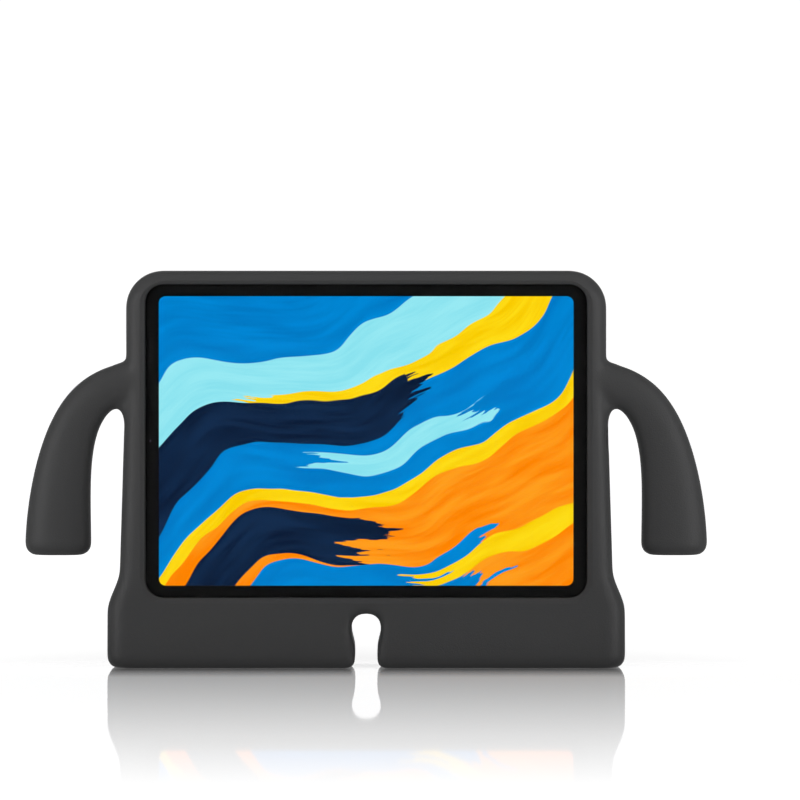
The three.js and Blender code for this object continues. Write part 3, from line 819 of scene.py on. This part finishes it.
def picture_finish(settings):
    """The lit screen: brush strokes of warm and cool paint that sweep up to the right."""
    recipe = Recipe("lit_screen", Roughness=0.4, Base_Color=(0.0, 0.0, 0.0, 1.0))
    recipe.surface.inputs["Specular IOR Level"].default_value = 0.0
    sweep = math.radians(26)
    parts = recipe.axes(recipe.place(origin=middle("display_panel"), turn=(0.0, sweep, 0.0)))
    along, over = parts["X"], parts["Z"]
    for run, height, start in ((0.25, 0.016, 0.5), (0.118, 0.006, 2.2), (0.049, 0.0013, 0.9)):
        turn = recipe.sums("MULTIPLY_ADD", along, 2 * math.pi / run, start)
        swing = recipe.sums("MULTIPLY", recipe.sums("SINE", turn), height)
        over = recipe.sums("ADD", over, swing)

    def stroke(stretch, size, detail, rough):
        """Noise drawn out along the sweep."""
        drawn = recipe.add("CombineXYZ", {"X": recipe.sums("MULTIPLY", along, stretch), "Z": over})
        return recipe.noise(drawn.outputs[0], size, detail, rough)

    bristle = stroke(0.07, 0.0016, 3.0, 0.6)
    brush = stroke(0.12, 0.006, 3.0, 0.55)
    cloud = stroke(0.45, 0.03, 2.0, 0.5)
    over = recipe.sums("ADD", over, recipe.spread(cloud, 0.3, 0.7, -0.005, 0.005))
    frayed = recipe.sums("ADD", along, recipe.spread(brush, 0.3, 0.7, -0.026, 0.026))
    frayed = recipe.sums("ADD", frayed, recipe.spread(bristle, 0.3, 0.7, -0.006, 0.006))
    crisp = 0.00015

    def band(low, high, slope=0.0, start=None, end=None):
        """1 inside a stroke of paint: its two edges, and frayed ends where it has any."""
        tapered = recipe.sums("MULTIPLY_ADD", along, slope, over)
        mask = 1.0
        for value, edge, rise in (
            (tapered, low, crisp),
            (over, high, -crisp),
            (frayed, start, crisp),
            (frayed, end, -crisp),
        ):
            if edge is not None:
                step = recipe.spread(value, edge - rise, edge + rise)
                mask = recipe.sums("MULTIPLY", step, mask)
        return mask

    def paint(light, dark):
        """One colour with the lighter and darker streaks of a brush."""
        streaks = recipe.sums("ADD", recipe.sums("MULTIPLY", bristle, 0.45), brush)
        streaks = recipe.spread(streaks, 0.6, 0.86)
        return recipe.tint(streaks, opaque(light), opaque(dark))

    night, blue, sky = settings.night, settings.blue, settings.sky
    yellow, orange = settings.yellow, settings.orange
    colours = {
        "night": paint(night, (0.006, 0.024, 0.072)),
        "blue": paint(blue, (0.0, 0.185, 0.55)),
        "sky": paint(sky, (0.25, 0.76, 0.86)),
        "yellow": paint(yellow, (0.96, 0.6, 0.0)),
        "orange": paint(orange, (1.0, 0.34, 0.012)),
    }
    shown = colours["sky"]
    for name, mask in (
        ("blue", band(-0.016, 0.034)),
        ("yellow", band(0.029, 0.041, slope=0.05, start=-0.05)),
        ("blue", band(0.068, 0.12, slope=-0.09)),
        ("night", band(0.012, 0.036, slope=-0.09, end=0.034)),
        ("sky", band(-0.004, 0.004, slope=0.06, start=-0.03, end=0.062)),
        ("yellow", band(-0.06, -0.016)),
        ("orange", band(-0.12, -0.024)),
        ("night", band(-0.066, -0.03, slope=0.12, end=-0.022)),
        ("blue", band(-0.12, -0.062, slope=-0.1, end=0.03)),
        ("yellow", band(-0.079, -0.07, slope=0.03, start=0.0)),
    ):
        shown = recipe.tint(mask, shown, colours[name])
    recipe.drive("Emission Color", shown)
    recipe.surface.inputs["Emission Strength"].default_value = settings.glow
    return recipe.material


# Operators


class OBJECT_OT_tablet_case_foam(bpy.types.Operator):
    """Mould the foam case: slab, flared foot, bent arms, keyhole, recess and openings"""

    bl_idname = "object.tablet_case_foam"
    bl_label = "Mould Foam Case"

    def execute(self, context):
        body = context.scene.tablet_case_body
        arm = context.scene.tablet_case_arm
        cuts = context.scene.tablet_case_cuts
        foam = context.scene.tablet_case_foam
        case = solid_from("foam_body", [body_ring(body, z) for z in body_levels(body)])
        for sign in (1, -1):
            for rings in (arm_rings(body, arm), web_rings(body, arm)):
                limb = [[Vector((sign * p.x, p.y, p.z)) for p in ring] for ring in rings]
                combine(case, solid_from("limb", limb), "UNION")
        cut(case, keyhole_rings(body, cuts))
        remesh = case.modifiers.new("cast", "REMESH")
        remesh.mode = "VOXEL"
        remesh.voxel_size = foam.voxel
        apply_modifiers(case)
        soften(case, foam.soften_roots, arm_root_test(body, arm))
        soften(case, foam.soften)
        self.cut_recess(case, body, cuts)
        self.cut_openings(case, body, cuts)
        shade(case)
        case.data.materials.clear()
        case.data.materials.append(foam_finish(foam, cuts))
        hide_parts("foam_case")
        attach(case, "root")
        return {"FINISHED"}

    def cut_recess(self, case, body, cuts):
        """The slate's recess, and the screen opening with its sloped lip."""
        wide = slate_high.x - slate_low.x
        high = slate_high.z - slate_low.z
        z = SLATE_MIDDLE.z
        front = body.front + cuts.lip_depth
        back = slate_high.y + cuts.fit
        recess = upright_rings(
            wide + 2 * cuts.fit,
            high + 2 * cuts.fit,
            cuts.recess_corner,
            0.0,
            z,
            [(front, 0.0), (back, 0.0)],
        )
        cut(case, recess)
        slope = [(-0.0012, 2.1), (0.0, 1.06), (0.00012, 0.97), (0.0003, 0.86), (0.001, 0.34)]
        slope += [(0.0012, 0.2), (0.0015, 0.08), (0.0019, 0.02), (0.0023, 0.0)]
        profile = [(body.front + y, cuts.lip_bevel * out) for y, out in slope]
        profile.append((front + 0.001, 0.0))
        window = upright_rings(
            wide - 2 * cuts.lip_over_sides,
            high - 2 * cuts.lip_over_ends,
            cuts.lip_corner,
            0.0,
            z,
            profile,
        )
        cut(case, window)

    def cut_openings(self, case, body, cuts):
        """The openings for the rear camera, contacts, charging plug and speakers."""
        openings = [back_opening(body, cuts, *opening) for opening in rear_openings(cuts)]
        openings.append(
            side_opening(body, cuts.port_length, cuts.port_width, SLATE_MIDDLE.z, 0.0008)
        )
        level = SLATE_MIDDLE.z - cuts.speaker_drop
        for sign in (1, -1):
            openings.append(
                side_opening(body, cuts.speaker_length, cuts.speaker_width, level, 0.0005, sign)
            )
        for rings in openings:
            cut(case, rings)


class OBJECT_OT_tablet_case_slate(bpy.types.Operator):
    """Finish the slate's shell, cover glass, border and the sensors in it"""

    bl_idname = "object.tablet_case_slate"
    bl_label = "Finish Slate"

    def execute(self, context):
        slate = context.scene.tablet_case_slate
        dress("tablet_shell", self.shell_finish(slate.metal))
        dress("cover_glass", glass_finish("cover_glass"))
        dress("screen_border", plastic_finish("border_black", slate.border, 0.6, 0.04))
        for name, iris in (
            ("infrared_sensor", (0.0018, 0.0016, 0.0019)),
            ("front_camera", (0.0016, 0.0017, 0.0022)),
            ("proximity_sensor", (0.0018, 0.0016, 0.0019)),
        ):
            low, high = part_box(name)
            radius = (high.x - low.x) / 2
            rings = [
                (radius * 0.35, (0.0008, 0.0009, 0.0013)),
                (radius * 0.8, iris),
                (radius, (0.0026, 0.0026, 0.0028)),
            ]
            dress(name, eyed_finish(name, middle(name), rings, 0.5, 0.0))
        name = "ambient_sensor"
        rings = [(0.0004, (0.16, 0.13, 0.2)), (0.0006, (0.02, 0.018, 0.024))]
        dress(name, eyed_finish(name, middle(name), rings, 0.5, 0.0))
        return {"FINISHED"}

    def shell_finish(self, metal):
        """Blasted aluminium outside, and black inside the tray that holds the screen."""
        recipe = Recipe("blasted_aluminium")
        parts = recipe.axes(recipe.place(origin=SLATE_MIDDLE))
        size = (slate_high - slate_low) / 2
        back, rim = size.y - 0.0009, 0.0011
        tray = recipe.spread(parts["Y"], back, back + 0.0001, 1.0, 0.0)
        for key, half in (("X", size.x - rim), ("Z", size.z - rim)):
            inside = recipe.spread(
                recipe.sums("ABSOLUTE", parts[key]), half - 0.0001, half, 1.0, 0.0
            )
            tray = recipe.sums("MULTIPLY", tray, inside)
        recipe.drive("Base Color", recipe.tint(tray, opaque(metal), (0.004, 0.004, 0.004, 1.0)))
        recipe.drive("Metallic", recipe.sums("SUBTRACT", 1.0, tray))
        return blast(recipe, 0.38)


class OBJECT_OT_tablet_case_screen(bpy.types.Operator):
    """Light the screen with a generic picture of flowing colours"""

    bl_idname = "object.tablet_case_screen"
    bl_label = "Light Screen"

    def execute(self, context):
        dress("display_panel", picture_finish(context.scene.tablet_case_slate))
        return {"FINISHED"}


class OBJECT_OT_tablet_case_fittings(bpy.types.Operator):
    """Finish the rear camera, flash, microphone, contacts and charging socket"""

    bl_idname = "object.tablet_case_fittings"
    bl_label = "Finish Rear Fittings"

    def execute(self, context):
        # Rings of one metal with painted light: a lighter band is a painted highlight, and the
        # dark line outside it a painted groove shadow
        rings = [
            (0.0055, (0.1, 0.102, 0.11)),
            (0.0061, (0.44, 0.45, 0.47)),
            (0.0066, (0.09, 0.092, 0.1)),
            (0.0072, (0.26, 0.265, 0.28)),
        ]
        dress("camera_ring", eyed_finish("ring_metal", CAMERA_MIDDLE, rings, 0.3, 0.0, 1.0))
        rings = [
            (0.0013, (0.012, 0.016, 0.036)),
            (0.0021, (0.005, 0.007, 0.014)),
            (0.0023, (0.014, 0.015, 0.02)),
            (0.0033, (0.0012, 0.0012, 0.0016)),
            (0.0036, (0.01, 0.0105, 0.012)),
            (0.006, (0.0008, 0.0008, 0.001)),
        ]
        dress("camera_lens", eyed_finish("lens_glass", CAMERA_MIDDLE, rings, 0.05, 0.1))
        rings = [
            (0.0011, (0.95, 0.92, 0.8)),
            (0.0014, (0.84, 0.81, 0.72)),
            (0.002, (0.9, 0.89, 0.86)),
        ]
        dress("flash_window", eyed_finish("flash_diffuser", middle("flash_window"), rings, 0.3))
        dress("rear_microphone", plastic_finish("microphone_mesh", (0.008, 0.008, 0.008), 0.6))
        plating = metal_finish("contact_plating", (0.62, 0.58, 0.5), 0.3)
        for name in ("contact_top", "contact_middle", "contact_bottom"):
            dress(name, plating)
        dress("socket_tongue", plastic_finish("socket_plastic", (0.012, 0.012, 0.012), 0.5))
        return {"FINISHED"}


class SCENE_OT_tablet_case_studio(bpy.types.Operator):
    """Set up the pale floor, the soft lights and the camera"""

    bl_idname = "scene.tablet_case_studio"
    bl_label = "Set Up Studio"

    def execute(self, context):
        stage = context.scene.tablet_case_stage
        side, all_round = stage.side_light, 180
        # The lamps at the sides light all but the floor, which would mirror them
        unlit = bpy.data.collections.new("not_lit_from_the_sides")
        unlit.objects.link(self.lay_floor(stage))
        unlit.collection_objects[0].light_linking.link_state = "EXCLUDE"
        self.light_world(context.scene)
        for name, spot, aim, size, power, beam in (
            ("top_softbox", (0, -0.35, 1.3), (0, 0, 0.11), (1.6, 1.2), stage.top_light, all_round),
            ("left_softbox", (-0.38, -0.255, 0.24), (-0.11, 0, 0.2), (0.24, 0.45), side, 44),
            ("right_softbox", (0.38, -0.255, 0.24), (0.11, 0, 0.2), (0.24, 0.45), side, 44),
        ):
            lamp = self.hang_light(name, Vector(spot), Vector(aim), size, power)
            lamp.data.spread = math.radians(beam)
            if beam < all_round:
                lamp.light_linking.receiver_collection = unlit
        self.set_camera(context.scene, stage)
        return {"FINISHED"}

    def lay_floor(self, stage):
        """A pale floor, polished in front of the case and where it stands, and matt elsewhere. A
        band of stronger polish round the foot mirrors the dark sole as a painted contact shadow,
        and the floor glows as painted light, less near the case and more behind it.
        """
        mesh = bmesh.new()
        bmesh.ops.create_circle(mesh, cap_ends=True, segments=64, radius=9.0)
        floor = piece_from("studio_floor", mesh)
        floor.visible_glossy = False
        recipe = Recipe("polished_floor")
        here = recipe.place(origin=(0.0, foam_low.y, 0.0))
        parts = recipe.axes(here)
        aside = recipe.sums("ABSOLUTE", parts["X"])
        polish = recipe.spread(parts["Y"], -stage.polish_run, 0.0, 0.0, stage.polish)
        for far, start, end in ((parts["Y"], 0.0, 0.1), (aside, 0.2, 0.5)):
            polish = recipe.sums("MULTIPLY", polish, recipe.spread(far, start, end, 1.0, 0.0))
        # Painted contact shadow: polish raised in a band round the foot, so that the floor mirrors
        # the dark sole there
        foot_half, half = 0.137, (foam_high.y - foam_low.y) / 2
        contact, contact_shadow_reach = 0.31, 0.068
        rim = recipe.outside(parts, {"X": (0.0, foot_half), "Y": (half, half)})
        rim = recipe.spread(rim, 0.0, contact_shadow_reach, contact, 0.0)
        behind = recipe.spread(parts["Y"], 2 * half, 2 * half + 0.004)
        no_slot = recipe.sums("MAXIMUM", recipe.spread(aside, 0.006, 0.0085), behind)
        polish = recipe.sums("ADD", polish, recipe.sums("MULTIPLY", rim, no_slot))
        # Painted light: the floor glows, less near the case than far off, and more behind it,
        # where the case casts its shadow
        glow_near, glow_far, shadow_fill_behind = 0.485, 0.73, 0.1
        strength = recipe.sums(
            "ADD",
            recipe.spread(recipe.away(here), 0.2, 1.2, glow_near, glow_far),
            recipe.spread(parts["Y"], -0.04, 0.05, 0.0, shadow_fill_behind),
        )
        glow = recipe.add("Emission", {"Strength": strength}).outputs[0]
        matt = recipe.add("BsdfDiffuse", {"Color": (0.93, 0.93, 0.93, 1.0)}).outputs[0]
        matt = recipe.add("AddShader", {0: matt, 1: glow}).outputs[0]
        mirror = recipe.add(
            "BsdfAnisotropic", {"Color": (1.0, 1.0, 1.0, 1.0), "Roughness": 0.03}
        ).outputs[0]
        blend = recipe.add("MixShader", {0: polish, 1: matt, 2: mirror}).outputs[0]
        recipe.tree.links.new(blend, recipe.tree.nodes["Material Output"].inputs["Surface"])
        recipe.tree.nodes.remove(recipe.surface)
        floor.data.materials.append(recipe.material)
        return floor

    def light_world(self, scene):
        """A soft white room, brighter behind the case than in front of it. The camera sees it
        as white all round."""
        world = bpy.data.worlds.new("studio")
        world.use_nodes = True
        scene.world = world
        tree, background = world.node_tree, world.node_tree.nodes["Background"]
        heading = add_node(tree, "TexCoord").outputs["Generated"]
        depth = add_node(tree, "SeparateXYZ", {0: heading}).outputs["Y"]
        limits = {0: depth, "From Min": 0.8, "From Max": 0.94, "To Min": 0.27, "To Max": 1.05}
        bright = add_node(tree, "MapRange", limits).outputs[0]
        seen = add_node(tree, "LightPath").outputs["Is Camera Ray"]
        strength = add_node(tree, "Math", {0: bright, 1: seen}, operation="MAXIMUM").outputs[0]
        tree.links.new(strength, background.inputs["Strength"])
        background.inputs["Color"].default_value = (1.0, 1.0, 1.0, 1.0)

    def hang_light(self, name, spot, target, size, power):
        light = bpy.data.lights.new(name, "AREA")
        light.shape = "RECTANGLE"
        light.size, light.size_y = size
        light.energy = power
        lamp = bpy.data.objects.new(name, light)
        bpy.context.scene.collection.objects.link(lamp)
        lamp.visible_camera = False
        lamp.location = spot
        lamp.rotation_euler = (target - spot).to_track_quat("-Z", "Y").to_euler()
        return lamp

    def set_camera(self, scene, stage):
        """A long lens, aimed so that the view's middle falls on the slab's front face."""
        lens = bpy.data.cameras.new("camera")
        lens.sensor_width = 36.0
        lens.lens = 36.0 * stage.distance / stage.view_width
        lens.clip_end = 60.0
        camera = bpy.data.objects.new("camera", lens)
        scene.collection.objects.link(camera)
        away = Vector((0.0, -math.cos(stage.elevation), math.sin(stage.elevation)))
        target = Vector((stage.view_x, slate_low.y - 0.0036, stage.view_z))
        camera.location = target + stage.distance * away
        camera.rotation_euler = (math.pi / 2 - stage.elevation, 0.0, 0.0)
        scene.camera = camera
        scene.view_settings.view_transform = "Standard"


class VIEW3D_PT_tablet_case(bpy.types.Panel):
    """Sizes and finishes of the tablet case, and what builds each part of it"""

    bl_label = "Kids Tablet Case"
    bl_space_type = "VIEW_3D"
    bl_region_type = "UI"
    bl_category = "Tablet Case"

    def draw(self, context):
        layout = self.layout
        for title, group, operators in (
            ("Slab and foot", "tablet_case_body", ()),
            ("Arms", "tablet_case_arm", ()),
            ("Recess and openings", "tablet_case_cuts", ()),
            ("Foam", "tablet_case_foam", ("object.tablet_case_foam",)),
            (
                "Slate",
                "tablet_case_slate",
                (
                    "object.tablet_case_slate",
                    "object.tablet_case_screen",
                    "object.tablet_case_fittings",
                ),
            ),
            ("Studio", "tablet_case_stage", ("scene.tablet_case_studio",)),
        ):
            box = layout.box()
            box.label(text=title)
            settings = getattr(context.scene, group)
            for key in settings.__annotations__:
                box.prop(settings, key)
            for operator in operators:
                box.operator(operator)


SETTINGS = {
    "tablet_case_body": TabletCaseBodySettings,
    "tablet_case_arm": TabletCaseArmSettings,
    "tablet_case_cuts": TabletCaseCutSettings,
    "tablet_case_foam": TabletCaseFoamSettings,
    "tablet_case_slate": TabletCaseSlateSettings,
    "tablet_case_stage": TabletCaseStageSettings,
}
CLASSES = (
    *SETTINGS.values(),
    OBJECT_OT_tablet_case_foam,
    OBJECT_OT_tablet_case_slate,
    OBJECT_OT_tablet_case_screen,
    OBJECT_OT_tablet_case_fittings,
    SCENE_OT_tablet_case_studio,
    VIEW3D_PT_tablet_case,
)


def register():
    for cls in CLASSES:
        bpy.utils.register_class(cls)
    for name, group in SETTINGS.items():
        setattr(bpy.types.Scene, name, PointerProperty(type=group))


def unregister():
    for name in SETTINGS:
        delattr(bpy.types.Scene, name)
    for cls in reversed(CLASSES):
        bpy.utils.unregister_class(cls)


def main():
    register()
    bpy.ops.object.tablet_case_foam()
    bpy.ops.object.tablet_case_slate()
    bpy.ops.object.tablet_case_screen()
    bpy.ops.object.tablet_case_fittings()
    bpy.ops.scene.tablet_case_studio()


if __name__ == "__main__":
    main()
